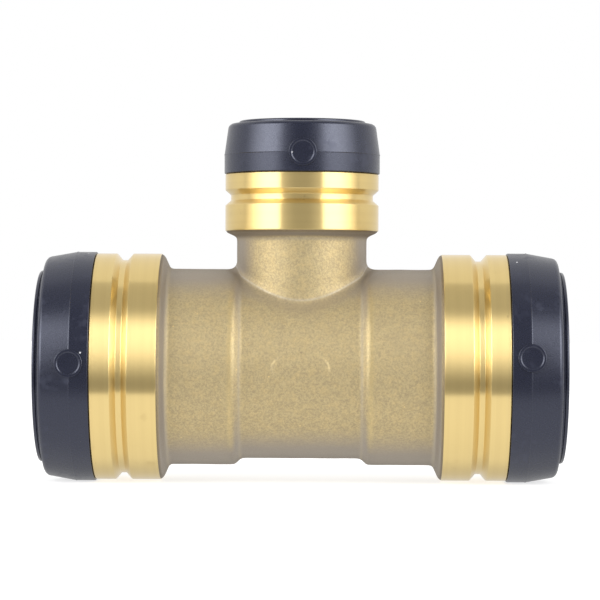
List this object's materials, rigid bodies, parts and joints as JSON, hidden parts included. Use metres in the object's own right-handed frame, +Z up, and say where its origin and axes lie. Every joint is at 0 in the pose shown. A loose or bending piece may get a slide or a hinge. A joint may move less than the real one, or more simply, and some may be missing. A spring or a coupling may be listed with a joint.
{
  "type": "push to connect fitting",
  "caption": "Brass push-fit reducing tee with in-line run ports and a smaller branch port, each with a black clip-on end cap and a sprung release collar, for joining pipe without tools.",
  "frame": {"origin": "where the run axis and the branch axis cross, at the centre of the waterway", "axes": "+X along the run towards the right port, +Z up the branch, +Y away from the front; the tee is drawn branch up"},
  "size_m": [0.164, 0.0732, 0.1131],
  "materials": {
    "forged_brass": "shot-blasted forging skin, fine matt grain",
    "machined_brass": "bright fine-turned with rings of tool marks",
    "cap_plastic": "satin moulded blue-black",
    "collar_plastic": "glossy moulded black",
    "seal_rubber": "greased black rubber",
    "spacer_plastic": "natural moulded",
    "protector_plastic": "natural moulded",
    "support_plastic": "amber-grey moulded",
    "grip_steel": "bright rolled stainless sheet"
  },
  "bodies": {
    "tee": {"tee_body": "forged_brass", "left_inner_seal": "seal_rubber", "left_seal_spacer": "spacer_plastic", "left_outer_seal": "seal_rubber", "left_seal_protector": "protector_plastic", "left_grip_support": "support_plastic", "left_grip_retainer": "support_plastic", "left_end_cap": "cap_plastic", "right_inner_seal": "seal_rubber", "right_seal_spacer": "spacer_plastic", "right_outer_seal": "seal_rubber", "right_seal_protector": "protector_plastic", "right_grip_support": "support_plastic", "right_grip_retainer": "support_plastic", "right_end_cap": "cap_plastic", "branch_inner_seal": "seal_rubber", "branch_seal_spacer": "spacer_plastic", "branch_outer_seal": "seal_rubber", "branch_seal_protector": "protector_plastic", "branch_grip_support": "support_plastic", "branch_grip_retainer": "support_plastic", "branch_end_cap": "cap_plastic"},
    "left_grip": {"left_grip_ring": "grip_steel"},
    "left_collar": {"left_release_collar": "collar_plastic"},
    "right_grip": {"right_grip_ring": "grip_steel"},
    "right_collar": {"right_release_collar": "collar_plastic"},
    "branch_grip": {"branch_grip_ring": "grip_steel"},
    "branch_collar": {"branch_release_collar": "collar_plastic"}
  },
  "joints": [
    {"name": "left_grip_turn", "type": "hinge", "parent": "tee", "child": "left_grip", "pos_m": [-0.066, 0, 0], "axis": [-1, 0, 0], "continuous": true},
    {"name": "left_collar_push", "type": "slide", "parent": "left_grip", "child": "left_collar", "axis": [1, 0, 0], "range_m": [0, 0.0029], "stiffness_N_per_m": 5000, "springref_m": -0.0004, "deforming": ["left_grip_ring"]},
    {"name": "right_grip_turn", "type": "hinge", "parent": "tee", "child": "right_grip", "pos_m": [0.066, 0, 0], "axis": [1, 0, 0], "continuous": true},
    {"name": "right_collar_push", "type": "slide", "parent": "right_grip", "child": "right_collar", "axis": [-1, 0, 0], "range_m": [0, 0.0029], "stiffness_N_per_m": 5000, "springref_m": -0.0004, "deforming": ["right_grip_ring"]},
    {"name": "branch_grip_turn", "type": "hinge", "parent": "tee", "child": "branch_grip", "pos_m": [0, 0, 0.0626], "axis": [0, 0, 1], "continuous": true},
    {"name": "branch_collar_push", "type": "slide", "parent": "branch_grip", "child": "branch_collar", "axis": [0, 0, -1], "range_m": [0, 0.0024], "stiffness_N_per_m": 3000, "springref_m": -0.0004, "deforming": ["branch_grip_ring"]}
  ]
}
